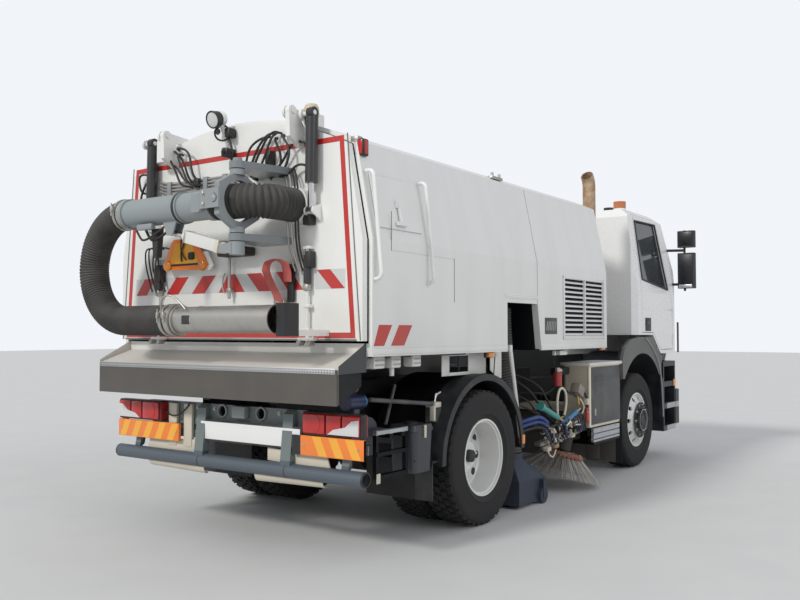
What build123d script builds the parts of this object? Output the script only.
"""Street sweeper truck: a two-axle chassis with a tilting cab, an engine module behind it, a tipping
dirt hopper with a top-hinged rear door, a suction boom folded across that door, and brush gear.

Millimetres. +X is forward, +Y is the left side, +Z is up. The ground is Z = 0, and X = 0 is the
middle of the whole length. Stations along the truck are measured forward of the rear axle.
"""

from build123d import *
import math
import os

os.makedirs("parts", exist_ok=True)

# Chassis: stations are distances ahead of the rear axle
rear_axle_x = -1400
wheelbase = 3500
rail_out = 385
rail_height = 270
rail_flange = 80
rail_web = 10
rail_top = 1000
rail_rear = -1450
rail_front = 4600
bearer_y = 345
bearer_width = 80
bearer_top = 1120
bearer_front = 2430

# Wheels: 295/80 R 22.5
tyre_radius = 522
tyre_width = 298
bead_radius = 286
rim_flange_radius = 298
front_wheel_y = 1035
rear_outer_y = 1086
rear_inner_y = 751
stud_circle = 167.5
king_pin_y = 920

# Load body: one cross-section for hopper and engine module
body_half = 1250
body_bottom = 1340
body_shoulder_z = 2100
body_eave_y = 1120
body_eave_z = 2755
body_apex_z = 3020
body_wall = 30
hopper_rear = -1495
hopper_front = 860
module_rear = 870
module_front = 2430
notch_rear = 320
notch_top = 1740
notch_depth = 480
notch_lean = 940

# Rear door
door_front = -1505
door_thickness = 50
door_bottom = 1440
door_inset = 34
door_hinge = (-1670, 2970)
ram_top = (-1605, 2955)
ram_foot = (-1615, 2300)
door_ram_y = (-830, 800)
hinge_arm_y = (-700, 570)

# Tipping
tip_pin = (-1380, 1180)
tip_ram_foot = (-1080, 830)
tip_ram_head = (-600, 1270)
tip_ram_y = 200

# Suction boom across the door
boom_x = -1950
slew_y = -490
boom_z = 2350
boom_radius = 100
hose_radius = 108
hand_tube_z = 1580
hand_tube_radius = 90
hose_bend_y = 645
elbow_radius = 115
elbow_bend = 180
boom_eye = (130, 2185)
stop_x, stop_y = -1933, -921
stop_foot, stop_height = 1472, 206

# Cab
cab_rear = 3330
cab_half = 1235
cab_wall = 50
cab_tilt_pin = (4800, 870)

tow_socket_radius = 22

# Brush gear
arm_pin = (1250, -560)
brush_x, brush_y, brush_z = 1880, -1000, 326
brush_radius, brush_drop = 450, 215
brush_tilt = 14
cross_radius = 200


def ax(distance):
    """X of a station that many millimetres ahead of the rear axle."""
    return rear_axle_x + distance


def finish(piece, name):
    """Label a finished piece and write it."""
    piece.part.label = name
    export_step(piece.part, f"parts/{name}.step")


def body_face(inset=0):
    """Cross-section of the load body as seen from behind, its walls moved in by inset."""
    with BuildSketch() as section:
        with BuildLine():
            Polyline(
                (-body_eave_y, body_eave_z),
                (-body_half, body_shoulder_z),
                (-body_half, body_bottom),
                (body_half, body_bottom),
                (body_half, body_shoulder_z),
                (body_eave_y, body_eave_z),
            )
            ThreePointArc(
                (body_eave_y, body_eave_z),
                (0, body_apex_z),
                (-body_eave_y, body_eave_z),
            )
        make_face()
        if inset:
            offset(amount=-inset, kind=Kind.INTERSECTION)
    return section.sketch


def tube_between(start, end, radius, bore=0):
    """Straight round tube or bar from one point to the other."""
    a, b = Vector(*start), Vector(*end)
    with BuildPart() as bar:
        with BuildSketch(Plane(origin=a, z_dir=b - a)):
            Circle(radius)
            if bore:
                Circle(bore, mode=Mode.SUBTRACT)
        extrude(amount=(b - a).length)
    return bar.part


# Ends of the cross brush that feeds the nozzle, and the direction from right to left
cross_left = Vector(ax(1440), 780, 210)
cross_right = Vector(ax(1010), -640, 210)
cross_dir = (cross_left - cross_right).normalized()

# Ladder frame: two channels, cross tubes, body bearers and the tipping lugs
with BuildPart() as frame:
    for side in (-1, 1):
        with BuildSketch(Plane.YZ.offset(ax(rail_rear))):
            with Locations((side * (rail_out - rail_flange / 2), rail_top - rail_height / 2)):
                Rectangle(rail_flange, rail_height)
            with Locations((side * (rail_out - rail_web - rail_flange / 2), rail_top - rail_height / 2)):
                Rectangle(rail_flange, rail_height - 2 * rail_web, mode=Mode.SUBTRACT)
        extrude(amount=rail_front - rail_rear)
        with BuildSketch(Plane.YZ.offset(ax(rail_rear))):
            with Locations((side * bearer_y, (rail_top + bearer_top) / 2)):
                Rectangle(bearer_width, bearer_top - rail_top)
        extrude(amount=bearer_front - rail_rear)
    for station in (-1400, -620, 450, 1300, 2250, 4550):
        with BuildSketch(Plane.XZ.offset(-(rail_out - rail_web))):
            with Locations((ax(station), rail_top - 110)):
                Circle(40)
        extrude(amount=2 * (rail_out - rail_web))
    # Lugs each side of both bearers carry the tipping pin
    for y in (-bearer_y - 55, -bearer_y + 55, bearer_y - 55, bearer_y + 55):
        with BuildSketch(Plane.XZ.offset(-y - 10)):
            with Locations((ax(tip_pin[0]), tip_pin[1])):
                Circle(48)
            with Locations((ax(tip_pin[0]), (tip_pin[1] + 1000) / 2)):
                Rectangle(96, tip_pin[1] - 1000)
        extrude(amount=20)
    for side in (-1, 1):
        with BuildSketch(Plane.XZ.offset(-side * bearer_y - 65)):
            with Locations((ax(tip_pin[0]), 1060)):
                Rectangle(96, 100)
        extrude(amount=130)
        with BuildSketch(Plane.XZ.offset(-side * bearer_y - 75)):
            with Locations((ax(tip_pin[0]), tip_pin[1])):
                Circle(24)
        extrude(amount=150)
    # Foot pin of the tipping rams between the rails
    with BuildSketch(Plane.XZ.offset(-(rail_out - rail_web))):
        with Locations((ax(tip_ram_foot[0]), tip_ram_foot[1])):
            Circle(25)
    extrude(amount=2 * (rail_out - rail_web))
    # Eyes of the side brush arm, and arms of the cross brush
    for low in (560, 760):
        with BuildSketch(Plane.XY.offset(low)):
            with Locations((ax(arm_pin[0]), arm_pin[1])):
                Circle(60)
            with Locations((ax(arm_pin[0]), (arm_pin[1] - rail_out) / 2)):
                Rectangle(110, abs(arm_pin[1]) - rail_out)
            with Locations((ax(arm_pin[0]), arm_pin[1])):
                Circle(31, mode=Mode.SUBTRACT)
        extrude(amount=60)
    with BuildSketch(Plane.XY.offset(560)):
        with Locations((ax(arm_pin[0]), -rail_out - 10)):
            Rectangle(110, 20)
    extrude(amount=260)
    for end, out in ((cross_left, 1), (cross_right, -1)):
        outer = end + cross_dir * out * 46
        above = Vector(outer.X, outer.Y, 760)
        add(tube_between(Vector(outer.X, out * (rail_out - 5), 760), above + Vector(0, out * 25, 0), 18))
        add(tube_between(above + Vector(0, 0, 8), outer + Vector(0, 0, 42), 15))
        with BuildSketch(Plane(origin=end + cross_dir * out * 34, z_dir=cross_dir * out)):
            Circle(52)
            Circle(22, mode=Mode.SUBTRACT)
        extrude(amount=24)
finish(frame, "frame")

# Beam front axle with its leaf springs
beam_z = 430
with BuildPart() as front_axle:
    with BuildSketch(Plane.YZ.offset(ax(wheelbase) - 45)):
        with BuildLine():
            Polyline(
                (-king_pin_y, 580),
                (-king_pin_y, 465),
                (-560, beam_z - 55),
                (560, beam_z - 55),
                (king_pin_y, 465),
                (king_pin_y, 580),
                (500, beam_z + 55),
                (-500, beam_z + 55),
                close=True,
            )
        make_face()
    extrude(amount=90)
    for side in (-1, 1):
        with BuildSketch(Plane.XY.offset(462)):
            with Locations((ax(wheelbase), side * king_pin_y)):
                Circle(58)
        extrude(amount=120)
        with BuildSketch(Plane.XY.offset(386)):
            with Locations((ax(wheelbase), side * king_pin_y)):
                Circle(24)
        extrude(amount=270)
        with BuildSketch(Plane.XZ.offset(-side * 425 - 40)):
            with BuildLine():
                ThreePointArc((ax(2760), 690), (ax(wheelbase), 476), (ax(4240), 690))
                Line((ax(4240), 690), (ax(4240), 725))
                ThreePointArc((ax(4240), 725), (ax(wheelbase), 560), (ax(2760), 725))
                Line((ax(2760), 725), (ax(2760), 690))
            make_face()
        extrude(amount=80)
        for station in (2760, 4240):
            with BuildSketch(Plane.XZ.offset(-side * 430 - 45)):
                with Locations((ax(station), 740)):
                    Rectangle(70, 120)
            extrude(amount=90)
finish(front_axle, "front_axle")

# Driven rear axle with its springs and the propeller shaft
with BuildPart() as rear_axle:
    with BuildSketch(Plane.XZ.offset(-918)):
        with Locations((ax(0), tyre_radius)):
            Circle(55)
    extrude(amount=2 * 918)
    with BuildSketch(Plane.XZ.offset(-600)):
        with Locations((ax(0), tyre_radius)):
            Circle(80)
    extrude(amount=1200)
    with BuildSketch(Plane.XZ):
        with BuildLine():
            CenterArc((ax(0), tyre_radius), 205, 90, 180)
            Line((ax(0), tyre_radius - 205), (ax(0) + 260, tyre_radius - 70))
            Line((ax(0) + 260, tyre_radius - 70), (ax(0) + 260, tyre_radius + 90))
            Line((ax(0) + 260, tyre_radius + 90), (ax(0), tyre_radius + 205))
        make_face()
    extrude(amount=120, both=True)
    for side in (-1, 1):
        with BuildSketch(Plane.XZ.offset(-side * 480 - 45)):
            with BuildLine():
                ThreePointArc((ax(-780), 700), (ax(0), 600), (ax(780), 700))
                Line((ax(780), 700), (ax(780), 735))
                ThreePointArc((ax(780), 735), (ax(0), 700), (ax(-780), 735))
                Line((ax(-780), 735), (ax(-780), 700))
            make_face()
        extrude(amount=90)
        for station in (-780, 780):
            with BuildSketch(Plane.XZ.offset(-side * 455 - 70)):
                with Locations((ax(station), 770)):
                    Rectangle(80, 140)
            extrude(amount=140)
    add(tube_between((ax(250), 0, 535), (ax(2405), 0, 798), 45))
finish(rear_axle, "rear_axle")

# Drive engine with gearbox and radiator, and the sweeping engine inside the module
with BuildPart() as engines:
    with BuildSketch(Plane.XZ):
        with BuildLine():
            Polyline(
                (ax(2420), 660),
                (ax(3150), 640),
                (ax(3250), 600),
                (ax(4120), 600),
                (ax(4120), 1360),
                (ax(3300), 1360),
                (ax(3250), 980),
                (ax(2420), 900),
                close=True,
            )
        make_face()
    extrude(amount=260, both=True)
    with BuildSketch(Plane.YZ.offset(ax(4380))):
        with Locations((0, 905)):
            Rectangle(600, 450)
    extrude(amount=90)
    with BuildSketch(Plane.YZ.offset(ax(4120))):
        with Locations((0, 905)):
            Rectangle(120, 120)
    extrude(amount=270)
    with BuildSketch(Plane.XY.offset(body_bottom + body_wall)):
        with Locations((ax(1800), 0)):
            Rectangle(900, 700)
    extrude(amount=800)
finish(engines, "engines")

# Engine module: hollow, with a louvred opening in each side
louvre_rear, louvre_front = 1420, 2330
louvre_bottom, louvre_top = 1465, 1990
louvre_mid = (louvre_rear + louvre_front) / 2
slat_count = 12
slat_pitch = (louvre_top - louvre_bottom) / slat_count
with BuildPart() as engine_module:
    with BuildSketch(Plane.YZ.offset(ax(module_rear))):
        add(body_face())
    extrude(amount=module_front - module_rear)
    with BuildSketch(Plane.YZ.offset(ax(module_rear + body_wall))):
        add(body_face(body_wall))
    extrude(amount=module_front - module_rear - 2 * body_wall, mode=Mode.SUBTRACT)
    # The right rear corner is filled, then leans back below the suction gear's cut-out
    with BuildSketch(Plane.XY.offset(body_bottom)):
        with Locations((ax(module_rear), -body_half)):
            Rectangle(
                notch_lean + body_wall - module_rear, notch_depth + body_wall,
                align=(Align.MIN, Align.MIN),
            )
    extrude(amount=notch_top - body_bottom + body_wall)
    with BuildSketch(Plane.XZ.offset(body_half - notch_depth)):
        with BuildLine():
            Polyline(
                (ax(module_rear), body_bottom),
                (ax(module_rear), notch_top),
                (ax(notch_lean), body_bottom),
                close=True,
            )
        make_face()
    extrude(amount=notch_depth + 10, mode=Mode.SUBTRACT)
    for side in (-1, 1):
        with BuildSketch(Plane.XZ.offset(-side * (body_half - body_wall / 2) - 40)):
            with Locations((ax(louvre_mid), (louvre_bottom + louvre_top) / 2)):
                Rectangle(louvre_front - louvre_rear, louvre_top - louvre_bottom)
        extrude(amount=80, mode=Mode.SUBTRACT)
        with BuildSketch(Plane.XZ.offset(-side * (body_half - body_wall / 2) - body_wall / 2)):
            with Locations((ax(louvre_mid), (louvre_bottom + louvre_top) / 2)):
                Rectangle(24, louvre_top - louvre_bottom)
        extrude(amount=body_wall)
        with BuildSketch(Plane.YZ.offset(ax(louvre_rear))):
            for row in range(slat_count):
                foot = louvre_bottom + 3 + row * slat_pitch
                with BuildLine():
                    Polyline(
                        (side * (body_half - 26), foot + slat_pitch - 9),
                        (side * (body_half - 4), foot),
                        (side * (body_half - 4), foot + 5),
                        (side * (body_half - 26), foot + slat_pitch - 4),
                        close=True,
                    )
                make_face()
        extrude(amount=louvre_front - louvre_rear)
finish(engine_module, "engine_module")

# Dirt hopper: hollow, open behind, notched at the right front for the suction gear
hatch_rear, hatch_front = -1410, -930
hatch_bottom, hatch_top = 2200, 2520
lean = math.atan2(body_half - body_eave_y, body_eave_z - body_shoulder_z)
with BuildPart() as hopper_shell:
    with BuildSketch(Plane.YZ.offset(ax(hopper_rear))):
        add(body_face())
    extrude(amount=hopper_front - hopper_rear)
    with BuildSketch(Plane.YZ.offset(ax(hopper_rear))):
        add(body_face(body_wall))
    extrude(amount=hopper_front - hopper_rear - body_wall, mode=Mode.SUBTRACT)
    # The inner corner of the notch is filled back as a wall of its own
    with BuildSketch(Plane.XY.offset(body_bottom)):
        with Locations((ax(notch_rear - body_wall), -body_half)):
            Rectangle(
                hopper_front - notch_rear + body_wall, notch_depth + body_wall,
                align=(Align.MIN, Align.MIN),
            )
    extrude(amount=notch_top - body_bottom + body_wall)
    with BuildSketch(Plane.XY.offset(body_bottom)):
        with Locations((ax(notch_rear), -body_half)):
            Rectangle(hopper_front - notch_rear, notch_depth, align=(Align.MIN, Align.MIN))
    extrude(amount=notch_top - body_bottom, mode=Mode.SUBTRACT)
    # Sill below the rear door
    with BuildSketch(Plane.YZ.offset(ax(hopper_rear))):
        with Locations((0, body_bottom + 42)):
            Rectangle(2 * body_half - 2 * body_wall, 84)
    extrude(amount=60)
    # Bearers below the floor, with round eyes on the tipping pin
    for side in (-1, 1):
        with BuildSketch(Plane.XZ.offset(-side * bearer_y - 40)):
            with Locations((ax(tip_pin[0]), tip_pin[1])):
                Circle(45)
            with BuildLine():
                Polyline(
                    (ax(tip_pin[0]) - 45, tip_pin[1]),
                    (ax(tip_pin[0]) - 45, body_bottom),
                    (ax(700), body_bottom),
                    (ax(700), bearer_top + 15),
                    (ax(tip_pin[0]), bearer_top + 15),
                    (ax(tip_pin[0]), tip_pin[1]),
                    close=True,
                )
            make_face()
            with Locations((ax(tip_pin[0]), tip_pin[1])):
                Circle(26, mode=Mode.SUBTRACT)
        extrude(amount=80)
    # Hooks below the floor take the cross pins of the tipping rams
    for y in (-tip_ram_y - 56, -tip_ram_y + 56, tip_ram_y - 56, tip_ram_y + 56):
        with BuildSketch(Plane.XZ.offset(-y - 8)):
            with BuildLine():
                Polyline(
                    (ax(tip_ram_head[0]) - 75, body_bottom),
                    (ax(tip_ram_head[0]) - 50, tip_ram_head[1] - 40),
                    (ax(tip_ram_head[0]) + 50, tip_ram_head[1] - 40),
                    (ax(tip_ram_head[0]) + 75, body_bottom),
                    close=True,
                )
            make_face()
            with Locations((ax(tip_ram_head[0]), tip_ram_head[1])):
                Circle(26, mode=Mode.SUBTRACT)
            with Locations((ax(tip_ram_head[0]), tip_ram_head[1] - 40)):
                Rectangle(52, 80, mode=Mode.SUBTRACT)
        extrude(amount=16)
    # Opening of the inspection hatch, cut square to the leaning wall
    hatch_mid_z = (hatch_bottom + hatch_top) / 2
    hatch_y = body_half - (hatch_mid_z - body_shoulder_z) * math.tan(lean)
    hatch_plane = Plane(
        origin=(ax((hatch_rear + hatch_front) / 2), -hatch_y, hatch_mid_z),
        x_dir=(1, 0, 0),
        z_dir=(0, -math.cos(lean), math.sin(lean)),
    )
    with BuildSketch(hatch_plane):
        Rectangle(hatch_front - hatch_rear, hatch_top - hatch_bottom)
    extrude(amount=60, both=True, mode=Mode.SUBTRACT)
    # Brackets over the rear edge: hinge eyes of the door and heads of its rams
    for y in hinge_arm_y:
        with BuildSketch(Plane.XZ.offset(-y - 46)):
            with BuildLine():
                Polyline(
                    (ax(-1400), body_apex_z - 150),
                    (ax(-1400), body_apex_z - 30),
                    (ax(door_hinge[0]), door_hinge[1] + 42),
                    (ax(door_hinge[0]), door_hinge[1] - 42),
                    (ax(-1590), door_hinge[1] - 30),
                    (ax(hopper_rear), door_hinge[1] - 30),
                    (ax(hopper_rear), body_apex_z - 150),
                    close=True,
                )
            make_face()
            with Locations((ax(door_hinge[0]), door_hinge[1])):
                Circle(42)
        extrude(amount=20)
        with BuildSketch(Plane.XZ.offset(-y - 46)):
            with Locations((ax(door_hinge[0]), door_hinge[1])):
                Circle(16)
        extrude(amount=72)
    for y in door_ram_y:
        with BuildSketch(Plane.XZ.offset(-y - 90)):
            with BuildLine():
                Polyline(
                    (ax(-1400), 2800),
                    (ax(-1400), 2985),
                    (ax(ram_top[0]), ram_top[1] + 36),
                    (ax(ram_top[0]), ram_top[1] - 36),
                    (ax(hopper_rear), 2925),
                    (ax(hopper_rear), 2800),
                    close=True,
                )
            make_face()
            with Locations((ax(ram_top[0]), ram_top[1])):
                Circle(36)
        extrude(amount=20)
        with BuildSketch(Plane.XZ.offset(-y - 90)):
            with Locations((ax(ram_top[0]), ram_top[1])):
                Circle(16)
        extrude(amount=115)
    # Grab rails either side of the hatch
    for station in (-1470, -860):
        foot = Vector(ax(station), -body_half, 1840)
        head = Vector(ax(station), -hatch_y + 20, 2550)
        out = Vector(0, -60, 0)
        with BuildLine() as rail_path:
            FilletPolyline(foot, foot + out, head + out, head, radius=40)
        with BuildSketch(Plane(origin=foot, z_dir=out)):
            Circle(14)
        sweep(path=rail_path.wires()[0])
finish(hopper_shell, "hopper_shell")

# Steel apron under the rear door, with its side wings
lip_x, lip_z = -1760, 1265
apron_half = 1190
with BuildPart() as hopper_apron:
    with BuildSketch(Plane.XZ.offset(-apron_half)):
        with BuildLine():
            Polyline(
                (ax(hopper_rear), body_bottom + 20),
                (ax(lip_x), lip_z + 6),
                (ax(lip_x) - 8, lip_z - 26),
                (ax(lip_x) + 8, lip_z - 26),
                (ax(lip_x) + 12, lip_z - 6),
                (ax(hopper_rear), body_bottom),
                close=True,
            )
        make_face()
    extrude(amount=2 * apron_half)
    for side in (-1, 1):
        with BuildSketch(Plane.XZ.offset(-side * (apron_half + 6) - 6)):
            with BuildLine():
                Polyline(
                    (ax(hopper_rear), 1425),
                    (ax(lip_x) - 8, lip_z + 20),
                    (ax(lip_x) - 8, lip_z - 30),
                    (ax(hopper_rear), 1240),
                    close=True,
                )
            make_face()
        extrude(amount=12)
finish(hopper_apron, "hopper_apron")

# Rubber flap hanging from the lip, with short side returns
flap_bottom = 1040
with BuildPart() as apron_flap:
    with BuildSketch(Plane.XY.offset(flap_bottom)):
        with Locations((ax(lip_x) - 14, 0)):
            Rectangle(12, 2 * apron_half)
    extrude(amount=lip_z - 2 - flap_bottom)
    for side in (-1, 1):
        with BuildSketch(Plane.XZ.offset(-side * (apron_half - 6) - 5)):
            with BuildLine():
                Polyline(
                    (ax(lip_x) - 14, flap_bottom),
                    (ax(lip_x) - 14, lip_z - 30),
                    (ax(-1530), 1236),
                    (ax(-1530), 1150),
                    close=True,
                )
            make_face()
        extrude(amount=10)
finish(apron_flap, "apron_flap")

# Inspection hatch: a lid hinged along its top edge, with a T-handle
lid_gap = 6
with BuildPart() as side_hatch:
    with BuildSketch(hatch_plane.offset(-body_wall + 6)):
        Rectangle(hatch_front - hatch_rear - 2 * lid_gap, hatch_top - hatch_bottom - 2 * lid_gap)
    extrude(amount=body_wall - 6)
    with BuildSketch(hatch_plane.offset(4)):
        Rectangle(hatch_front - hatch_rear + 40, hatch_top - hatch_bottom + 40)
    extrude(amount=8)
    # Hinge barrel along the lid's top edge
    lid_edge = (hatch_top - hatch_bottom) / 2 + 20
    hinge_start = hatch_plane.from_local_coords((-100, lid_edge, 8))
    hinge_end = hatch_plane.from_local_coords((100, lid_edge, 8))
    add(tube_between(hinge_start, hinge_end, 6))
    with BuildSketch(hatch_plane):
        Rectangle(60, 60)
    extrude(amount=24)
    with BuildSketch(hatch_plane.offset(20)):
        with Locations((0, -90)):
            Rectangle(26, 120)
            with Locations((0, -55)):
                Rectangle(110, 24)
        with Locations((0, -20)):
            Rectangle(20, 60)
    extrude(amount=22)
finish(side_hatch, "side_hatch")

# Rear door: one thick plate of the body's section, with hinge ears, ram eyes and boom brackets
slew_bearings = ((2090, 2137), (2563, 2610))
with BuildPart() as rear_door:
    with BuildSketch(Plane.YZ.offset(ax(door_front) - door_thickness)):
        add(body_face(door_inset))
        with Locations((0, door_bottom)):
            Rectangle(2 * body_half, 2000, align=(Align.CENTER, Align.MAX), mode=Mode.SUBTRACT)
    extrude(amount=door_thickness)
    door_face = door_front - door_thickness
    for y in hinge_arm_y:
        with BuildSketch(Plane.XZ.offset(-y - 18)):
            with BuildLine():
                Polyline(
                    (ax(door_face), 2740),
                    (ax(door_face), 2880),
                    (ax(door_hinge[0]) + 30, door_hinge[1] + 20),
                    (ax(door_hinge[0]) - 38, door_hinge[1]),
                    (ax(door_hinge[0]) - 30, 2800),
                    (ax(door_face) - 40, 2740),
                    close=True,
                )
            make_face()
            with Locations((ax(door_hinge[0]), door_hinge[1])):
                Circle(40)
                Circle(18, mode=Mode.SUBTRACT)
        extrude(amount=36)
    for y in door_ram_y:
        for cheek in (-34, 34):
            with BuildSketch(Plane.XZ.offset(-y - cheek - 6)):
                with BuildLine():
                    Polyline(
                        (ax(door_face), ram_foot[1] - 70),
                        (ax(door_face), ram_foot[1] + 50),
                        (ax(ram_foot[0]), ram_foot[1] + 28),
                        (ax(ram_foot[0]), ram_foot[1] - 28),
                        close=True,
                    )
                make_face()
                with Locations((ax(ram_foot[0]), ram_foot[1])):
                    Circle(28)
            extrude(amount=12)
    # Two shelves carry the boom's upright
    for low, high in slew_bearings:
        with BuildSketch(Plane.XY.offset(low)):
            with BuildLine():
                Polyline(
                    (ax(door_face), slew_y - 150),
                    (ax(door_face), slew_y + 150),
                    (ax(boom_x), slew_y + 55),
                    (ax(boom_x), slew_y - 55),
                    close=True,
                )
            make_face()
            with Locations((ax(boom_x), slew_y)):
                Circle(55)
                Circle(32, mode=Mode.SUBTRACT)
        extrude(amount=high - low)
    # Flange where the suction hose enters the door
    with BuildSketch(Plane.YZ.offset(ax(door_face) - 60)):
        with Locations((slew_y - elbow_bend, boom_z)):
            Circle(elbow_radius + 13)
            Circle(elbow_radius - 8, mode=Mode.SUBTRACT)
    extrude(amount=60)
    # End stop of the folded hand tube: a rubber block on a bar from the door
    with BuildSketch(Plane.XY.offset(stop_foot)):
        with Locations((ax(stop_x), stop_y)):
            RectangleRounded(135, 92, 20)
    extrude(amount=stop_height)
    with BuildSketch(Plane.XY.offset(stop_foot)):
        with Locations((ax((stop_x + door_face) / 2), stop_y)):
            Rectangle(door_face - stop_x, 40)
    extrude(amount=40)
    # Work lamp on its stalk
    with BuildSketch(Plane.XZ.offset(-30)):
        with BuildLine():
            Polyline(
                (ax(door_face), 2830),
                (ax(door_face), 2900),
                (ax(door_face) - 60, 3010),
                (ax(door_face) - 80, 2995),
                (ax(door_face) - 30, 2880),
                close=True,
            )
        make_face()
    extrude(amount=24)
    add(tube_between((ax(door_face) - 60, 20, 3040), (ax(door_face) - 150, 20, 3010), 52))
finish(rear_door, "rear_door")

# Lifting rams of the door, outside it
ram_line = Vector(ram_foot[0] - ram_top[0], 0, ram_foot[1] - ram_top[1]).normalized()
barrel_length = 470
with BuildPart() as door_ram_barrels:
    for y in door_ram_y:
        head = Vector(ax(ram_top[0]), y, ram_top[1])
        add(tube_between(head + ram_line * 30, head + ram_line * barrel_length, 42, 24))
        add(tube_between(head + Vector(0, -24, 0), head + Vector(0, 24, 0), 38))
        add(
            tube_between(head + Vector(0, -30, 0), head + Vector(0, 30, 0), 18),
            mode=Mode.SUBTRACT,
        )
finish(door_ram_barrels, "door_ram_barrels")

with BuildPart() as door_ram_rods:
    for y in door_ram_y:
        head = Vector(ax(ram_top[0]), y, ram_top[1])
        foot = Vector(ax(ram_foot[0]), y, ram_foot[1])
        add(tube_between(head + ram_line * 110, foot - ram_line * 8, 22))
        add(tube_between(foot + Vector(0, -22, 0), foot + Vector(0, 22, 0), 30))
finish(door_ram_rods, "door_ram_rods")

# Tipping rams between the rails
tip_line = Vector(tip_ram_head[0] - tip_ram_foot[0], 0, tip_ram_head[1] - tip_ram_foot[1])
tip_reach = tip_line.length
tip_line = tip_line.normalized()
with BuildPart() as tip_ram_barrels:
    for side in (-1, 1):
        foot = Vector(ax(tip_ram_foot[0]), side * tip_ram_y, tip_ram_foot[1])
        add(tube_between(foot + tip_line * 45, foot + tip_line * 560, 62, 42))
        add(tube_between(foot + Vector(0, -30, 0), foot + Vector(0, 30, 0), 55))
        add(
            tube_between(foot + Vector(0, -40, 0), foot + Vector(0, 40, 0), 27),
            mode=Mode.SUBTRACT,
        )
finish(tip_ram_barrels, "tip_ram_barrels")

with BuildPart() as tip_ram_rods:
    for side in (-1, 1):
        foot = Vector(ax(tip_ram_foot[0]), side * tip_ram_y, tip_ram_foot[1])
        head = foot + tip_line * tip_reach
        add(tube_between(foot + tip_line * 120, head - tip_line * 20, 40))
        add(tube_between(head + Vector(0, -30, 0), head + Vector(0, 30, 0), 36))
        add(tube_between(head + Vector(0, -74, 0), head + Vector(0, 74, 0), 18))
finish(tip_ram_rods, "tip_ram_rods")

# Lifting ram of the boom: its pin on the fork, its head under the boom
boom_pin = Vector(ax(boom_x), slew_y + 85, 2045)
boom_head = Vector(ax(boom_x), *boom_eye)
boom_line = (boom_head - boom_pin).normalized()
cross = Vector(1, 0, 0)

# Hexagonal fork that slews between the shelves, with the lifting pivot at its sides
ring_inner = 135
post_foot = 2000
with BuildPart() as boom_post:
    with BuildSketch(Plane.XZ.offset(-slew_y - 22)):
        with Locations((ax(boom_x), boom_z)):
            RegularPolygon(radius=178, side_count=6, major_radius=False, rotation=30)
            Circle(ring_inner, mode=Mode.SUBTRACT)
    extrude(amount=44)
    with BuildSketch(Plane.XY.offset(slew_bearings[1][0] - 6)):
        with Locations((ax(boom_x), slew_y)):
            Circle(50)
    extrude(amount=-(slew_bearings[1][0] - 6 - boom_z - 170))
    with BuildSketch(Plane.XY.offset(slew_bearings[1][0] - 20)):
        with Locations((ax(boom_x), slew_y)):
            Circle(30)
    extrude(amount=90)
    with BuildSketch(Plane.XY.offset(slew_bearings[0][1] + 6)):
        with Locations((ax(boom_x), slew_y)):
            Circle(50)
    extrude(amount=boom_z - 170 - slew_bearings[0][1] - 6)
    with BuildSketch(Plane.XY.offset(post_foot)):
        with Locations((ax(boom_x), slew_y)):
            Circle(30)
    extrude(amount=slew_bearings[0][1] + 10 - post_foot)
    with BuildSketch(Plane.XY.offset(post_foot)):
        with Locations((ax(boom_x), slew_y)):
            Circle(50)
    extrude(amount=slew_bearings[0][0] - 6 - post_foot)
    for side in (-1, 1):
        with BuildSketch(Plane.YZ.offset(ax(boom_x) + side * 150)):
            with Locations((slew_y, boom_z)):
                Circle(26)
        extrude(amount=side * 62)
    # Ears and pin for the lifting ram
    for cheek in (-48, 48):
        with BuildSketch(Plane.YZ.offset(ax(boom_x) + cheek - 6)):
            with BuildLine():
                Polyline(
                    (slew_y, post_foot + 5),
                    (slew_y, boom_pin.Z + 32),
                    (slew_y + 115, boom_pin.Z + 26),
                    (slew_y + 115, boom_pin.Z - 26),
                    close=True,
                )
            make_face()
        extrude(amount=12)
    with BuildSketch(Plane.YZ.offset(ax(boom_x) - 54)):
        with Locations((boom_pin.Y, boom_pin.Z)):
            Circle(12)
    extrude(amount=108)
finish(boom_post, "boom_post")

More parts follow.
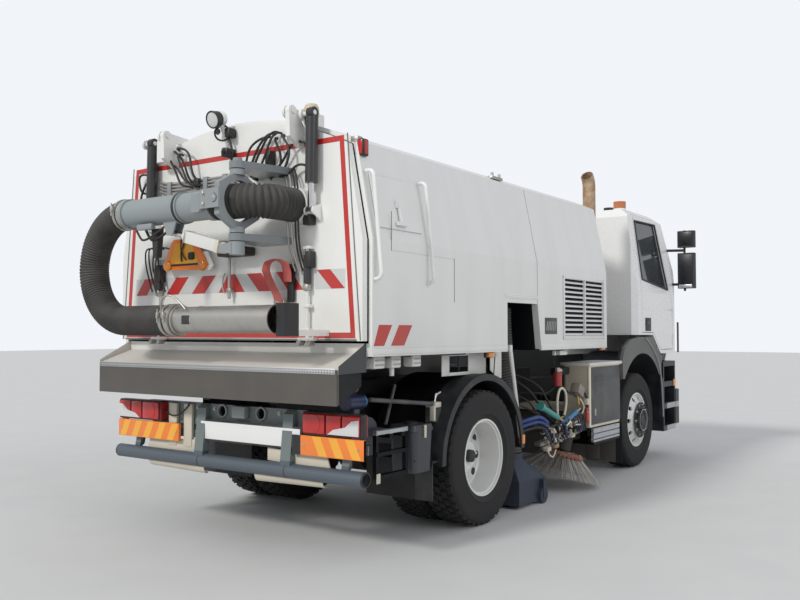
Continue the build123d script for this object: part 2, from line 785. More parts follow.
# Boom tube with its fork arms, end clamp and ram bracket
boom_inner_y = slew_y + 180
boom_band_y = 0
fork_reach = 320
fork_gap = 190
with BuildPart() as boom_tube:
    add(tube_between((ax(boom_x), boom_inner_y, boom_z), (ax(boom_x), hose_bend_y, boom_z),
                     boom_radius, boom_radius - 6))
    for y in (boom_inner_y, boom_band_y, hose_bend_y - 60):
        add(tube_between((ax(boom_x), y, boom_z), (ax(boom_x), y + 55, boom_z),
                         boom_radius + 10, boom_radius - 6))
    for side in (-1, 1):
        with BuildSketch(Plane.XY.offset(boom_z - 62)):
            with BuildLine():
                Polyline(
                    (ax(boom_x) + side * fork_gap, slew_y - 42),
                    (ax(boom_x) + side * fork_gap, slew_y + 120),
                    (ax(boom_x) + side * (boom_radius - 4), slew_y + fork_reach - 80),
                    (ax(boom_x) + side * (boom_radius - 4), slew_y + fork_reach),
                    (ax(boom_x) + side * (boom_radius + 12), slew_y + fork_reach),
                    (ax(boom_x) + side * (boom_radius + 12), slew_y + fork_reach - 74),
                    (ax(boom_x) + side * (fork_gap + 15), slew_y + 126),
                    (ax(boom_x) + side * (fork_gap + 15), slew_y - 42),
                    close=True,
                )
            make_face()
        extrude(amount=124)
        with BuildSketch(Plane.YZ.offset(ax(boom_x) + side * fork_gap - 30)):
            with Locations((slew_y, boom_z)):
                Circle(29)
        extrude(amount=60, mode=Mode.SUBTRACT)
    for cheek in (-34, 34):
        with BuildSketch(Plane.YZ.offset(ax(boom_x) + cheek - 6)):
            with BuildLine():
                Polyline(
                    (boom_eye[0] - 70, boom_z - boom_radius + 12),
                    (boom_eye[0] + 70, boom_z - boom_radius + 12),
                    (boom_eye[0] + 28, boom_eye[1] - 20),
                    (boom_eye[0] - 28, boom_eye[1] - 20),
                    close=True,
                )
            make_face()
        extrude(amount=12)
finish(boom_tube, "boom_tube")

# Suction hose hanging from the boom in a half circle
hose_drop = boom_z - hand_tube_z
hose_end_y = 110
with BuildPart() as boom_hose:
    with BuildSketch(Plane.XZ.offset(-hose_bend_y)):
        with Locations((ax(boom_x), boom_z)):
            Circle(hose_radius)
            Circle(hose_radius - 10, mode=Mode.SUBTRACT)
    revolve(
        axis=Axis((ax(boom_x), hose_bend_y, hand_tube_z + hose_drop / 2), (-1, 0, 0)),
        revolution_arc=180,
    )
    add(tube_between((ax(boom_x), hose_bend_y, hand_tube_z), (ax(boom_x), hose_end_y, hand_tube_z),
                     hose_radius, hose_radius - 10))
finish(boom_hose, "boom_hose")

# Hand tube at the hose's end, with its clamp collar and open mouth
hand_mouth_y = -850
with BuildPart() as hand_tube:
    add(tube_between((ax(boom_x), hose_end_y - 1, hand_tube_z), (ax(boom_x), hand_mouth_y, hand_tube_z),
                     hand_tube_radius, hand_tube_radius - 5))
    add(tube_between((ax(boom_x), hose_end_y - 1, hand_tube_z), (ax(boom_x), hose_end_y - 50, hand_tube_z),
                     hose_radius - 2, hand_tube_radius - 5))
finish(hand_tube, "hand_tube")

with BuildPart() as boom_ram_barrel:
    add(tube_between(boom_pin + boom_line * 20, boom_pin + boom_line * 430, 36, 20))
    add(tube_between(boom_pin - cross * 38, boom_pin + cross * 38, 26))
    add(tube_between(boom_pin - cross * 40, boom_pin + cross * 40, 14), mode=Mode.SUBTRACT)
finish(boom_ram_barrel, "boom_ram_barrel")

with BuildPart() as boom_ram_rod:
    add(tube_between(boom_pin + boom_line * 120, boom_head - boom_line * 10, 18))
    add(tube_between(boom_head - cross * 22, boom_head + cross * 22, 22))
finish(boom_ram_rod, "boom_ram_rod")

# Flexible elbow from the door's flange through the fork to the boom
with BuildPart() as hose_elbow:
    add(tube_between((ax(boom_x), boom_inner_y - 4, boom_z), (ax(boom_x), slew_y, boom_z),
                     elbow_radius, elbow_radius - 10))
    with BuildSketch(Plane.XZ.offset(-slew_y)):
        with Locations((ax(boom_x), boom_z)):
            Circle(elbow_radius)
            Circle(elbow_radius - 10, mode=Mode.SUBTRACT)
    revolve(
        axis=Axis((ax(boom_x) + elbow_bend, slew_y, boom_z), (0, 0, 1)),
        revolution_arc=90,
    )
    add(tube_between((ax(boom_x) + elbow_bend, slew_y - elbow_bend, boom_z),
                     (ax(door_front) - door_thickness - 62, slew_y - elbow_bend, boom_z),
                     elbow_radius, elbow_radius - 10))
finish(hose_elbow, "hose_elbow")


def tyre(x, y):
    """Tyre about a wheel centre: a carcass open towards its rim."""
    # Half section as (distance from the middle plane, radius)
    outside = (
        (116, bead_radius + 1), (116, 300), (140, 318), (tyre_width / 2, 400), (138, 480), (116, 512),
        (0, tyre_radius),
    )
    inside = ((0, 496), (112, 486), (128, 400), (98, bead_radius + 1))
    half = outside + inside
    with BuildPart() as ring:
        with BuildSketch(Plane.YZ.offset(x)):
            for side in (-1, 1):
                with BuildLine():
                    Polyline(*[(y + side * off, tyre_radius + r) for off, r in half], close=True)
                make_face()
        revolve(axis=Axis((x, 0, tyre_radius), (0, 1, 0)))
    return ring.part


def rim(x, y, outward):
    """Rim about a wheel centre; outward is the side, as a sign, that its disc bulges to."""
    # Disc and barrel section as (distance from the middle plane, radius)
    barrel = ((-128, rim_flange_radius), (-128, 284), (-108, 284), (-108, 270), (108, 270), (108, 284),
              (128, 284), (128, rim_flange_radius), (118, rim_flange_radius), (118, bead_radius),
              (-118, bead_radius), (-118, rim_flange_radius))
    disc = ((70, 272), (90, 272), (140, 205), (168, 175), (168, 62), (150, 62), (150, 168), (128, 195))
    with BuildPart() as wheel:
        with BuildSketch(Plane.YZ.offset(x)):
            for section in (barrel, disc):
                with BuildLine():
                    Polyline(*[(y + outward * off, tyre_radius + r) for off, r in section], close=True)
                make_face()
        revolve(axis=Axis((x, 0, tyre_radius), (0, 1, 0)))
        with BuildSketch(Plane.XZ.offset(-y - outward * 60)):
            with Locations((x, tyre_radius)):
                with PolarLocations(228, 10):
                    Circle(25)
        extrude(amount=-outward * 120, mode=Mode.SUBTRACT)
    return wheel.part


def hub(x, near, far, radius, bore_depth):
    """Hub between two distances from the middle, bored for its spindle from the near end."""
    with BuildPart() as nave:
        with BuildSketch(Plane.XZ.offset(-near)):
            with Locations((x, tyre_radius)):
                Circle(radius)
        extrude(amount=near - far)
        with BuildSketch(Plane.XZ.offset(-near)):
            with Locations((x, tyre_radius)):
                Circle(57)
        extrude(amount=math.copysign(bore_depth, near - far), mode=Mode.SUBTRACT)
    return nave.part


# Wheels: a single in front, twins behind, each side one tyre node and one rim node
for name, side in (("left", 1), ("right", -1)):
    x = ax(wheelbase)
    with BuildPart() as front_tyre:
        add(tyre(x, side * front_wheel_y))
    finish(front_tyre, f"tyre_front_{name}")
    with BuildPart() as front_rim:
        add(rim(x, side * front_wheel_y, side))
        add(hub(x, side * 1120, side * 1222, 112, 60))
        with BuildSketch(Plane.XZ.offset(-side * 1202)):
            with Locations((x, tyre_radius)):
                with PolarLocations(stud_circle, 10):
                    Circle(16)
        extrude(amount=-side * 26)
    finish(front_rim, f"rim_front_{name}")
    x = ax(0)
    with BuildPart() as twin_tyres:
        add(tyre(x, side * rear_outer_y))
        add(tyre(x, side * rear_inner_y))
    finish(twin_tyres, f"tyres_rear_{name}")
    with BuildPart() as twin_rims:
        add(rim(x, side * rear_outer_y, -side))
        add(rim(x, side * rear_inner_y, side))
        add(hub(x, side * 860, side * 1060, 118, 70))
        with BuildSketch(Plane.XZ.offset(-side * 934)):
            with Locations((x, tyre_radius)):
                with PolarLocations(stud_circle, 10):
                    Circle(16)
        extrude(amount=-side * 26)
    finish(twin_rims, f"rims_rear_{name}")

# Steering knuckles: a fork on the king pin, carrying the spindle
for name, side in (("left", 1), ("right", -1)):
    x = ax(wheelbase)
    with BuildPart() as knuckle:
        for low in (390, 600):
            with BuildSketch(Plane.XY.offset(low)):
                with Locations((x, side * king_pin_y)):
                    Circle(62)
                with Locations((x, side * (king_pin_y + 50))):
                    Rectangle(110, 100)
                with Locations((x, side * king_pin_y)):
                    Circle(26, mode=Mode.SUBTRACT)
            extrude(amount=48)
        with BuildSketch(Plane.XY.offset(390)):
            with Locations((x, side * (king_pin_y + 83))):
                Rectangle(110, 34)
        extrude(amount=258)
        with BuildSketch(Plane.XZ.offset(-side * (king_pin_y + 90))):
            with Locations((x, tyre_radius)):
                Circle(50)
        extrude(amount=-side * (1175 - king_pin_y - 90))
        with BuildSketch(Plane.XZ.offset(-side * (king_pin_y + 100))):
            with Locations((x, tyre_radius)):
                Circle(205)
                Circle(80, mode=Mode.SUBTRACT)
        extrude(amount=-side * 60)
        with BuildSketch(Plane.XZ.offset(-side * (king_pin_y + 96))):
            with Locations((x, tyre_radius)):
                Circle(205)
        extrude(amount=-side * 12)
    finish(knuckle, f"knuckle_{name}")

# Rear mudguards over the twins, each with its transverse flap
guard_radius, guard_z = 640, 530
with BuildPart() as mudguards:
    for side in (-1, 1):
        with BuildSketch(Plane.XZ.offset(-side * 912 - 322)):
            with Locations((ax(0), guard_z)):
                Circle(guard_radius)
                Circle(guard_radius - 12, mode=Mode.SUBTRACT)
                Rectangle(2000, 1000, align=(Align.CENTER, Align.MAX), mode=Mode.SUBTRACT)
        extrude(amount=644)
        with BuildSketch(Plane.XZ.offset(-side * 1226 - 8)):
            with Locations((ax(0), guard_z)):
                Circle(guard_radius)
                Circle(guard_radius - 50, mode=Mode.SUBTRACT)
                Rectangle(2000, 1000, align=(Align.CENTER, Align.MAX), mode=Mode.SUBTRACT)
        extrude(amount=16)
        with BuildSketch(Plane.XY.offset(560)):
            with Locations((ax(-672), side * 900)):
                Rectangle(90, 600)
        extrude(amount=14)
        with BuildSketch(Plane.XY.offset(290)):
            with Locations((ax(-710), side * 900)):
                Rectangle(10, 590)
        extrude(amount=284)
        for station in (-420, 420):
            with BuildSketch(Plane.XZ.offset(-side * 500 - 115)):
                with Locations((ax(station), 985)):
                    Circle(22)
            extrude(amount=230)
finish(mudguards, "mudguards")

# Rear cross member, posts and the tubular bumper
bumper_x, bumper_z = -1540, 560
coupling_y, coupling_z = (-280, 110), 925
with BuildPart() as rear_bumper:
    add(tube_between((ax(bumper_x), -1235, bumper_z), (ax(bumper_x), 1235, bumper_z), 50, 44))
    with BuildSketch(Plane.YZ.offset(ax(-1500))):
        with Locations((0, 890)):
            Rectangle(1900, 160)
        with Locations((0, 740)):
            Rectangle(2440, 60)
        for y in coupling_y:
            with Locations((y, coupling_z)):
                Circle(38, mode=Mode.SUBTRACT)
    extrude(amount=50)
    for y in (290, -570):
        with BuildSketch(Plane.XZ.offset(-y - 45)):
            with BuildLine():
                Polyline(
                    (ax(-1500), 970),
                    (ax(-1540), 940),
                    (ax(-1575), 620),
                    (ax(-1575), 590),
                    (ax(-1520), 590),
                    (ax(-1500), 700),
                    close=True,
                )
            make_face()
        extrude(amount=90)
    for side in (-1, 1):
        with BuildSketch(Plane.XZ.offset(-side * 1050 - 30)):
            with BuildLine():
                Polyline(
                    (ax(-1500), 725),
                    (ax(-1450), 770),
                    (ax(-1480), 620),
                    (ax(-1520), 590),
                    (ax(-1525), 602),
                    close=True,
                )
            make_face()
        extrude(amount=60)
finish(rear_bumper, "rear_bumper")

# Rear lamps: clusters above striped marker plates
with BuildPart() as rear_lamps:
    for side in (-1, 1):
        with BuildSketch(Plane.YZ.offset(ax(-1565))):
            with Locations((side * 970, 895)):
                RectangleRounded(500, 150, 18)
        extrude(amount=64)
        with BuildSketch(Plane.YZ.offset(ax(-1562))):
            with Locations((side * 930, 745)):
                Rectangle(610, 130)
        extrude(amount=22)
        with BuildSketch(Plane.YZ.offset(ax(-1540))):
            with Locations((side * 700, 750), (side * 1165, 750)):
                Rectangle(60, 36)
        extrude(amount=39.5)
        with BuildSketch(Plane.YZ.offset(ax(-1562))):
            with Locations((side * 1165, 815)):
                Rectangle(60, 40)
        extrude(amount=22)
finish(rear_lamps, "rear_lamps")

# Locker on the right and the canister behind the right rear wheel
with BuildPart() as lockers:
    with BuildSketch(Plane.XY.offset(560)):
        with Locations((ax(2480), -1070)):
            RectangleRounded(800, 280, 30)
    extrude(amount=600)
    with BuildSketch(Plane.XY.offset(1160)):
        with Locations((ax(2465), -1075)):
            RectangleRounded(860, 310, 40)
    extrude(amount=36, taper=12)
    with BuildSketch(Plane.XY.offset(700)):
        with Locations((ax(2380), -668)):
            Rectangle(400, 564)
    extrude(amount=60)
    with BuildSketch(Plane.XY.offset(520)):
        with Locations((ax(-855), -1110)):
            RectangleRounded(210, 200, 30)
    extrude(amount=290, taper=-3)
    with BuildSketch(Plane.XY.offset(810)):
        with Locations((ax(-855), -1110)):
            RectangleRounded(260, 240, 40)
    extrude(amount=40, taper=20)
    with BuildSketch(Plane.XY.offset(700)):
        with Locations((ax(-855), -820)):
            Rectangle(60, 400)
    extrude(amount=50)
finish(lockers, "lockers")

# Fuel tank on the left, air tank crosswise at the rear, each on its straps
with BuildPart() as tanks:
    with BuildSketch(Plane.YZ.offset(ax(1500))):
        with Locations((930, 840)):
            RectangleRounded(560, 560, 120)
    extrude(amount=1300)
    for station in (1700, 2600):
        with BuildSketch(Plane.YZ.offset(ax(station))):
            with Locations((930, 840)):
                RectangleRounded(574, 574, 127)
                RectangleRounded(558, 558, 120, mode=Mode.SUBTRACT)
            with Locations((520, 840)):
                Rectangle(250, 120)
        extrude(amount=60)
    with BuildSketch(Plane.XZ.offset(-1150)):
        with Locations((ax(-1180), 800)):
            Circle(120)
    extrude(amount=560)
    with BuildSketch(Plane.XZ.offset(590)):
        with Locations((ax(-1330), 830)):
            Circle(105)
    extrude(amount=500)
    for side in (-1, 1):
        with BuildSketch(Plane.XZ.offset(-side * 550 - 165)):
            with Locations((ax(-1270), 890)):
                Rectangle(60, 60)
        extrude(amount=330)
finish(tanks, "tanks")

# Steps: fold-down frame behind the right wheel, and the tread below each side box
with BuildPart() as steps:
    for station in (-1345, -1010):
        with BuildSketch(Plane.XY.offset(530)):
            with Locations((ax(station), -1165)):
                Rectangle(28, 28)
        extrude(amount=320)
    for low in (530, 680, 822):
        with BuildSketch(Plane.XY.offset(low)):
            with Locations((ax(-1178), -1165)):
                Rectangle(350, 40)
        extrude(amount=26)
    for station in (-1190, -1050):
        with BuildSketch(Plane.XY.offset(790)):
            with Locations((ax(station), -782.5)):
                Rectangle(40, 795)
        extrude(amount=40)
    for side in (-1, 1):
        with BuildSketch(Plane.XY.offset(395)):
            with Locations((ax(2450), side * 1125)):
                Rectangle(680, 220)
        extrude(amount=30)
        for row in range(3):
            with BuildSketch(Plane.XY.offset(395 + row * 55)):
                with Locations((ax(2450), side * 1222)):
                    Rectangle(680, 26)
            extrude(amount=44)
        with BuildSketch(Plane.XY.offset(395)):
            with Locations((ax(2450), side * 1205)):
                Rectangle(680, 8)
        extrude(amount=154)
        for station in (2180, 2720):
            with BuildSketch(Plane.XY.offset(425)):
                with Locations((ax(station), side * 1100)):
                    Rectangle(40, 60)
            extrude(amount=125)
finish(steps, "steps")

# Exhaust of the sweeping engine: an upright pipe with a bent, open mouth
with BuildPart() as exhaust_stack:
    add(tube_between((ax(2600), -1000, 2000), (ax(2600), -1000, 3020), 66, 60))
    with BuildSketch(Plane.XY.offset(3020)):
        with Locations((ax(2600), -1000)):
            Circle(66)
            Circle(60, mode=Mode.SUBTRACT)
    revolve(axis=Axis((ax(2600) - 150, -1000, 3020), (0, -1, 0)), revolution_arc=50)
    add(tube_between((ax(2470), -1000, 2060), (ax(2600), -1000, 2060), 50))
    add(tube_between((ax(2430), -1000, 2060), (ax(2480), -1000, 2060), 90))
    with BuildSketch(Plane.XY.offset(1990)):
        with Locations((ax(2600), -1000)):
            Circle(100)
    extrude(amount=140)
finish(exhaust_stack, "exhaust_stack")

# Front bumper with lamps, and the entry steps behind its ends
with BuildPart() as front_bumper:
    with BuildSketch(Plane.XY.offset(380)):
        with BuildLine():
            Polyline((ax(4640), 1240), (ax(4760), 1240))
            ThreePointArc((ax(4760), 1240), (ax(4885), 1120), (ax(4930), 900))
            ThreePointArc((ax(4930), 900), (ax(4960), 0), (ax(4930), -900))
            ThreePointArc((ax(4930), -900), (ax(4885), -1120), (ax(4760), -1240))
            Polyline((ax(4760), -1240), (ax(4640), -1240), (ax(4640), 1240))
        make_face()
    extrude(amount=420)
    with BuildSketch(Plane.XY.offset(380)):
        with Locations((ax(4600), 0)):
            Rectangle(540, 2300)
    extrude(amount=370, mode=Mode.SUBTRACT)
    for side in (-1, 1):
        with BuildSketch(Plane.YZ.offset(ax(4600))):
            with Locations((side * 370, 870)):
                Rectangle(100, 160)
        extrude(amount=240)
        with BuildSketch(Plane.XZ.offset(-side * 420 - 80)):
            with Locations((ax(cab_tilt_pin[0]), cab_tilt_pin[1])):
                Circle(20)
        extrude(amount=160)
    with BuildSketch(Plane.YZ.offset(ax(4600))):
        with Locations((0, 640)):
            Rectangle(720, 120)
    extrude(amount=320)
    for side in (-1, 1):
        with BuildSketch(Plane.YZ.offset(ax(4890))):
            with Locations((side * 880, 600)):
                RectangleRounded(330, 170, 40)
        extrude(amount=100, mode=Mode.SUBTRACT)
    # Towing socket
    with BuildSketch(Plane.YZ.offset(ax(4880))):
        with Locations((-450, 640)):
            Circle(tow_socket_radius)
    extrude(amount=100, mode=Mode.SUBTRACT)
    for side in (-1, 1):
        with BuildSketch(Plane.XY.offset(330)):
            with Locations((ax(4420), side * 1065)):
                Rectangle(440, 340)
        extrude(amount=820)
        for low, high in ((390, 590), (650, 850), (910, 1090)):
            with BuildSketch(Plane.XZ.offset(-side * 1150 - 100)):
                with Locations((ax(4420), (low + high) / 2)):
                    Rectangle(380, high - low)
            extrude(amount=200, mode=Mode.SUBTRACT)
        with BuildSketch(Plane.YZ.offset(ax(4400))):
            with Locations((side * 665, 700)):
                Rectangle(560, 90)
        extrude(amount=100)
        with BuildSketch(Plane.YZ.offset(ax(4200))):
            with Locations((side * 1218, 730)):
                Rectangle(44, 460)
        extrude(amount=-50)
finish(front_bumper, "front_bumper")

with BuildPart() as headlamps:
    for side in (-1, 1):
        with BuildSketch(Plane.YZ.offset(ax(4891))):
            with Locations((side * 880, 600)):
                RectangleRounded(326, 166, 38)
        extrude(amount=24)
finish(headlamps, "headlamps")

# Suction nozzle beside the brush, on two castors
with BuildPart() as suction_nozzle:
    with BuildSketch(Plane.XY.offset(30)):
        with Locations((ax(860), -960)):
            Rectangle(470, 460)
        with Locations((ax(860), -960)):
            Rectangle(410, 400, mode=Mode.SUBTRACT)
    extrude(amount=200)
    with BuildSketch(Plane.XY.offset(230)):
        with Locations((ax(860), -960)):
            Rectangle(470, 460)
    with BuildSketch(Plane.XY.offset(400)):
        with Locations((ax(820), -980)):
            Circle(125)
    loft()
    with BuildSketch(Plane.XY.offset(400)):
        with Locations((ax(820), -980)):
            Circle(125)
    extrude(amount=50)
    with BuildSketch(Plane.XY.offset(220)):
        with Locations((ax(820), -980)):
            Circle(105)
    extrude(amount=240, mode=Mode.SUBTRACT)
    for y, station in ((-1205, 1030), (-715, 700)):
        with BuildSketch(Plane.XZ.offset(-y - 20)):
            with Locations((ax(station), 76)):
                Circle(70)
        extrude(amount=40)
        with BuildSketch(Plane.XZ.offset(-y - 26)):
            with Locations((ax(station), 130)):
                Rectangle(50, 160)
        extrude(amount=52)
    for side in (-1, 1):
        add(tube_between((ax(1078), -960 + side * 150, 215), (ax(1100), -410, 770 + side * 30), 18))
finish(suction_nozzle, "suction_nozzle")

hose_foot = Vector(ax(820), -980, 451)
with BuildPart() as suction_hose:
    with BuildLine() as hose_path:
        FilletPolyline(
            hose_foot, (ax(820), -980, 650), (ax(660), -1000, 1180), (ax(600), -1000, 1705),
            radius=400,
        )
    with BuildSketch(Plane(origin=hose_foot, z_dir=(0, 0, 1))):
        Circle(122)
        Circle(110, mode=Mode.SUBTRACT)
    sweep(path=hose_path.wires()[0])
finish(suction_hose, "suction_hose")


# Side brush: an arm swinging on its upright pin, and the tilted plate with its steel bundles
tilt = math.radians(brush_tilt)
low_side = Vector(1, -1, 0).normalized()
brush_axis = Vector(0, 0, 1) * math.cos(tilt) + low_side * math.sin(tilt)
brush_centre = Vector(ax(brush_x), brush_y, brush_z)
brush_plane = Plane(origin=brush_centre, x_dir=low_side.cross(Vector(0, 0, 1)), z_dir=brush_axis)
with BuildPart() as brush_arm:
    with BuildSketch(Plane.XY.offset(548)):
        with Locations((ax(arm_pin[0]), arm_pin[1])):
            Circle(30)
    extrude(amount=284)
    with BuildSketch(Plane.XY.offset(626)):
        with Locations((ax(arm_pin[0]), arm_pin[1])):
            Circle(55)
    extrude(amount=128)
    elbow = Vector(ax(1560), -760, 640)
    add(tube_between(Vector(ax(arm_pin[0]), arm_pin[1], 680), elbow, 34))
    add(tube_between(elbow, brush_centre + brush_axis * 120, 34))
    with BuildSketch(brush_plane.offset(36)):
        Circle(75)
    extrude(amount=150)
    with BuildSketch(brush_plane.offset(16)):
        Circle(24)
    extrude(amount=40)
finish(brush_arm, "brush_arm")

bundle_count = 30
with BuildPart() as side_brush:
    with BuildSketch(brush_plane.offset(-20)):
        Circle(205)
        Circle(26, mode=Mode.SUBTRACT)
    extrude(amount=32)
    for row in range(bundle_count):
        turn = 2 * math.pi * row / bundle_count
        out = brush_plane.x_dir * math.cos(turn) + brush_plane.y_dir * math.sin(turn)
        root = brush_centre + out * 180 - brush_axis * 15
        tip = brush_centre + out * (brush_radius - 12) - brush_axis * (brush_drop - 6)
        run = tip - root
        with BuildSketch(Plane(origin=root, x_dir=brush_axis.cross(out), z_dir=run)):
            Rectangle(24, 16)
        extrude(amount=run.length, taper=-3)
finish(side_brush, "side_brush")

# Cross brush: a reel of spiral bristle rows on a tube
reel_length = (cross_left - cross_right).length
with BuildPart() as cross_brush:
    with BuildSketch(Plane(origin=cross_right, z_dir=cross_dir)):
        Circle(90)
    extrude(amount=reel_length)
    with BuildSketch(Plane(origin=cross_right - cross_dir * 60, z_dir=cross_dir)):
        Circle(20)
    extrude(amount=reel_length + 120)
    row_count = 12
    for row in range(row_count):
        with BuildSketch(Plane(origin=cross_right + cross_dir * 8, z_dir=cross_dir)):
            with Locations(Rotation(0, 0, row * 360 / row_count)):
                with Locations((cross_radius / 2 + 40, 0)):
                    Rectangle(cross_radius - 80, 16)
        extrude(amount=reel_length - 16)
finish(cross_brush, "cross_brush")

# Cab: side profile, seen from the right, as (station, height)
cab_profile = (
    (3330, 1467), (3330, 2790), (3420, 2885), (4250, 2950), (4420, 2880), (4840, 1950),
    (4900, 1550), (4900, 970), (4820, 970), (4780, 1235), (4120, 1250), (3860, 1467),
)
# Front view as (y, height), and plan as (station, y)
cab_front = (
    (-560, 2936), (-1000, 2905), (-1135, 2810), (-cab_half, 1950), (-cab_half, 900),
    (cab_half, 900), (cab_half, 1950), (1135, 2810), (1000, 2905), (560, 2936), (0, 2950),
)
cab_plan = (
    (4900, -860), (4700, -cab_half), (cab_rear + 60, -cab_half), (cab_rear, -cab_half + 60),
    (cab_rear, cab_half - 60), (cab_rear + 60, cab_half), (4700, cab_half), (4900, 860),
)
door_outline = (
    (3500, 1490), (3500, 2835), (4257, 2835), (4470, 2020), (4560, 1800), (4560, 1290),
    (4130, 1290), (3870, 1490),
)
# The leaf stands further back at its leaning top, where its inner edge swings widest
door_leaf = ((3500, 1490), (3500, 1950), (3510, 2835)) + door_outline[2:]
cab_door_axis = (4565, 1240)
door_hinge_heights = (1410, 1740)
window_outline = ((3560, 2090), (3540, 2750), (4205, 2765), (4388, 2010))


def cab_block(inset):
    """Solid form of the cab, its outside moved in by inset."""
    with BuildPart() as block:
        with BuildSketch(Plane.XZ):
            with BuildLine():
                Polyline(*[(ax(d), z) for d, z in cab_profile], close=True)
            make_face()
            if inset:
                offset(amount=-inset, kind=Kind.INTERSECTION)
        extrude(amount=cab_half + 50, both=True)
        with BuildSketch(Plane.YZ.offset(ax(3200))):
            with BuildLine():
                Polyline(*cab_front, close=True)
            make_face()
            if inset:
                offset(amount=-inset, kind=Kind.INTERSECTION)
        extrude(amount=1800, mode=Mode.INTERSECT)
        with BuildSketch(Plane.XY.offset(800)):
            with BuildLine():
                Polyline(*[(ax(d), y) for d, y in cab_plan], close=True)
            make_face()
            if inset:
                offset(amount=-inset, kind=Kind.INTERSECTION)
            nose = vertices().filter_by(lambda v: v.X > ax(4600))
            fillet(nose, radius=130)
        extrude(amount=2300, mode=Mode.INTERSECT)
    return block.part


def side_prism(outline, side, gap):
    """Block through one side wall of the cab with the given outline, shrunk by gap."""
    with BuildPart() as prism:
        with BuildSketch(Plane.XZ.offset(-side * 1140 - 160)):
            with BuildLine():
                Polyline(*[(ax(d), z) for d, z in outline], close=True)
            make_face()
            if gap:
                offset(amount=-gap, kind=Kind.ARC)
        extrude(amount=320)
    return prism.part


def cab_core(gap):
    """Space between the cab's side walls, floor and all, so that a door takes wall alone."""
    with BuildPart() as core:
        with BuildSketch(Plane.YZ.offset(ax(3200))):
            with BuildLine():
                Polyline(*cab_front, close=True)
            make_face()
            offset(amount=-cab_wall - gap, kind=Kind.INTERSECTION)
        extrude(amount=1800)
    return core.part


def hinge_barrels(side, radius, height):
    """Upright barrels on the axis of a cab door."""
    with BuildPart() as barrels:
        for z in door_hinge_heights:
            with BuildSketch(Plane.XY.offset(z - height / 2)):
                with Locations((ax(cab_door_axis[0]), side * cab_door_axis[1])):
                    Circle(radius)
            extrude(amount=height)
    return barrels.part


def windscreen_prism(gap):
    """Block through the front wall for the windscreen, shrunk by gap."""
    with BuildPart() as prism:
        with BuildSketch(Plane.YZ.offset(ax(4300))):
            with BuildLine():
                Polyline((-1085 + gap, 1990 + gap), (1085 - gap, 1990 + gap),
                         (1008 - gap, 2825 - gap), (-1008 + gap, 2825 - gap), close=True)
            make_face()
        extrude(amount=700)
    return prism.part


cab_outer = cab_block(0)
cab_inner = cab_block(cab_wall)
glass_outer = cab_block(12)
glass_inner = cab_block(18)
with BuildPart() as cab_shell:
    add(cab_outer)
    add(cab_inner, mode=Mode.SUBTRACT)
    # Tunnel over the engine
    with BuildSketch(Plane.YZ.offset(ax(cab_rear + 20))):
        with Locations((0, 1400)):
            Rectangle(800, 320)
    extrude(amount=1260)
    with BuildSketch(Plane.YZ.offset(ax(cab_rear - 20))):
        with Locations((0, 1330)):
            Rectangle(700, 360)
    extrude(amount=1270, mode=Mode.SUBTRACT)
    for side in (-1, 1):
        add(side_prism(door_outline, side, 0) - cab_core(5), mode=Mode.SUBTRACT)
        add(hinge_barrels(side, 16, 112), mode=Mode.SUBTRACT)
    add(windscreen_prism(0), mode=Mode.SUBTRACT)
    # Rear window and grille slots
    with BuildSketch(Plane.YZ.offset(ax(cab_rear - 10))):
        with Locations((0, 2350)):
            RectangleRounded(900, 420, 60)
    extrude(amount=100, mode=Mode.SUBTRACT)
    for row in range(4):
        with BuildSketch(Plane.YZ.offset(ax(4820))):
            with Locations((0, 1360 + row * 110)):
                RectangleRounded(1500 - row * 60, 62, 20)
        extrude(amount=120, mode=Mode.SUBTRACT)
    # Beacon and lamp on the roof, and eyes on the tilting pin
    for y, d, radius, height in ((-950, 3600, 70, 95), (950, 3600, 70, 95), (-700, 3900, 60, 80)):
        with BuildSketch(Plane.XY.offset(2860)):
            with Locations((ax(d), y)):
                Circle(radius)
        extrude(amount=height + 40)
    for side in (-1, 1):
        with BuildSketch(Plane.XZ.offset(-side * 460 - 20)):
            with BuildLine():
                Polyline((ax(4720), 1240), (ax(4780), 1240), (ax(4840), 870), (ax(4760), 870), close=True)
            make_face()
            with Locations((ax(cab_tilt_pin[0]), cab_tilt_pin[1])):
                Circle(40)
                Circle(21, mode=Mode.SUBTRACT)
        extrude(amount=40)
finish(cab_shell, "cab_shell")

with BuildPart() as cab_glass:
    add(glass_outer)
    add(glass_inner, mode=Mode.SUBTRACT)
    add(windscreen_prism(2), mode=Mode.INTERSECT)
    with BuildSketch(Plane.YZ.offset(ax(cab_rear + 20))):
        with Locations((0, 2350)):
            RectangleRounded(896, 416, 58)
    extrude(amount=6)
finish(cab_glass, "cab_glass")

seam = 7
for name, side in (("left", 1), ("right", -1)):
    with BuildPart() as door:
        add(cab_outer)
        add(cab_core(0), mode=Mode.SUBTRACT)
        add(side_prism(door_leaf, side, seam), mode=Mode.INTERSECT)
        add(side_prism(window_outline, side, 0), mode=Mode.SUBTRACT)
        add(hinge_barrels(side, 11, 100))
        for z in door_hinge_heights:
            with BuildSketch(Plane.XY.offset(z - 50)):
                with Locations((ax(cab_door_axis[0]) - 15, side * (cab_half + 2))):
                    Rectangle(30, 14)
            extrude(amount=100)
    finish(door, f"cab_door_{name}")
    with BuildPart() as pane:
        add(glass_outer)
        add(glass_inner, mode=Mode.SUBTRACT)
        add(side_prism(window_outline, side, 1), mode=Mode.INTERSECT)
    finish(pane, f"door_glass_{name}")

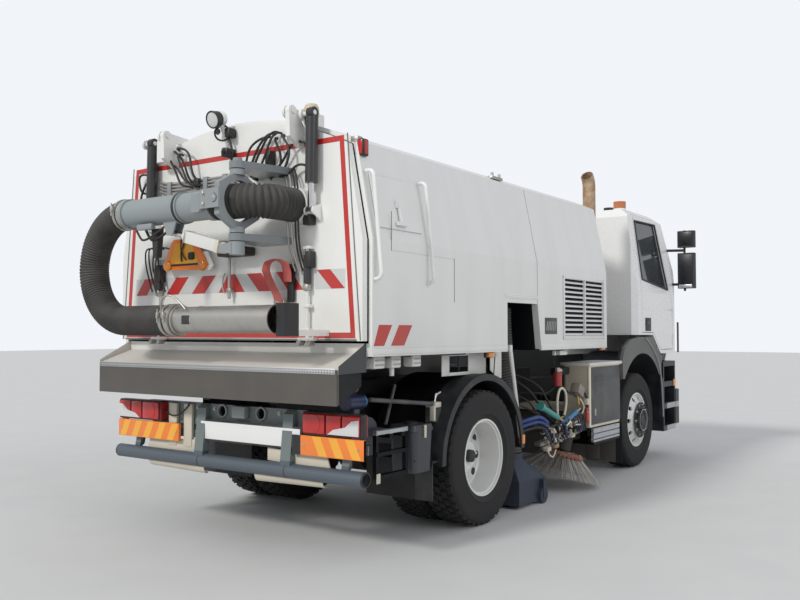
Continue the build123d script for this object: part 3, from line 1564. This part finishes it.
# Seats, steering wheel and dashboard
with BuildPart() as cab_interior:
    for y in (620, -620):
        with BuildSketch(Plane.XZ.offset(-y - 240)):
            with BuildLine():
                Polyline(
                    (ax(3480), 1700), (ax(3480), 1880), (ax(3440), 2480), (ax(3540), 2500),
                    (ax(3610), 1920), (ax(4000), 1930), (ax(4010), 1840), (ax(3900), 1720), close=True,
                )
            make_face()
        extrude(amount=480)
        with BuildSketch(Plane.XY.offset(1517)):
            with Locations((ax(3700), y)):
                Rectangle(300, 300)
        extrude(amount=190)
    with BuildSketch(Plane.XZ.offset(-950)):
        with BuildLine():
            Polyline(
                (ax(4640), 1562), (ax(4430), 1620), (ax(4400), 1900), (ax(4460), 1960),
                (ax(4720), 1950), (ax(4780), 1600), close=True,
            )
        make_face()
    extrude(amount=1900)
    wheel_plane = Plane(origin=(ax(4250), 620, 2010), z_dir=(-0.5, 0, 0.85))
    with BuildSketch(wheel_plane):
        Circle(225)
        Circle(195, mode=Mode.SUBTRACT)
        Rectangle(400, 40)
        Circle(50)
    extrude(amount=28)
    add(tube_between(Vector(ax(4250), 620, 2010), Vector(ax(4450), 620, 1700), 28))
finish(cab_interior, "cab_interior")

# Mirrors on their arms
with BuildPart() as mirrors:
    for side in (-1, 1):
        for low, high in ((2030, 2460), (2530, 2730)):
            with BuildSketch(Plane.XY.offset(low)):
                with Locations((ax(4665), side * 1385)):
                    RectangleRounded(110, 210, 40)
            extrude(amount=high - low)
        for d, z in ((4560, 2495), (4600, 2080)):
            add(tube_between(Vector(ax(d), side * 1130, z), Vector(ax(4665), side * 1362, z), 16))
        add(tube_between(Vector(ax(4665), side * 1360, 2000), Vector(ax(4665), side * 1360, 2740), 14))
    add(cab_outer, mode=Mode.SUBTRACT)
finish(mirrors, "mirrors")

# Wheel arches of the cab: a roof over each front wheel with an outer flare
arch_z = 540
arch_outline = (
    (2915, 1000), (2900, 1215), (2975, 1330), (3160, 1410), (3400, 1445), (3850, 1440), (4090, 1240),
    (4185, 1225), (4135, 1120), (4135, 1000),
)
with BuildPart() as wheel_arches:
    for side in (-1, 1):
        with BuildSketch(Plane.XZ.offset(-side * 1205 - 30)):
            with BuildLine():
                Polyline(*[(ax(d), z) for d, z in arch_outline], (ax(4060), 1000))
                ThreePointArc((ax(4060), 1000), (ax(3500), 1262), (ax(2960), 1000))
                Line((ax(2960), 1000), (ax(2915), 1000))
            make_face()
        extrude(amount=60)
        with BuildSketch(Plane.XZ.offset(-side * 925 - 250)):
            with BuildLine():
                ThreePointArc((ax(4060), 1000), (ax(3500), 1262), (ax(2960), 1000))
                Line((ax(2960), 1000), (ax(2945), 1012))
                ThreePointArc((ax(2945), 1012), (ax(3500), 1280), (ax(4075), 1012))
                Line((ax(4075), 1012), (ax(4060), 1000))
            make_face()
        extrude(amount=500)
finish(wheel_arches, "wheel_arches")
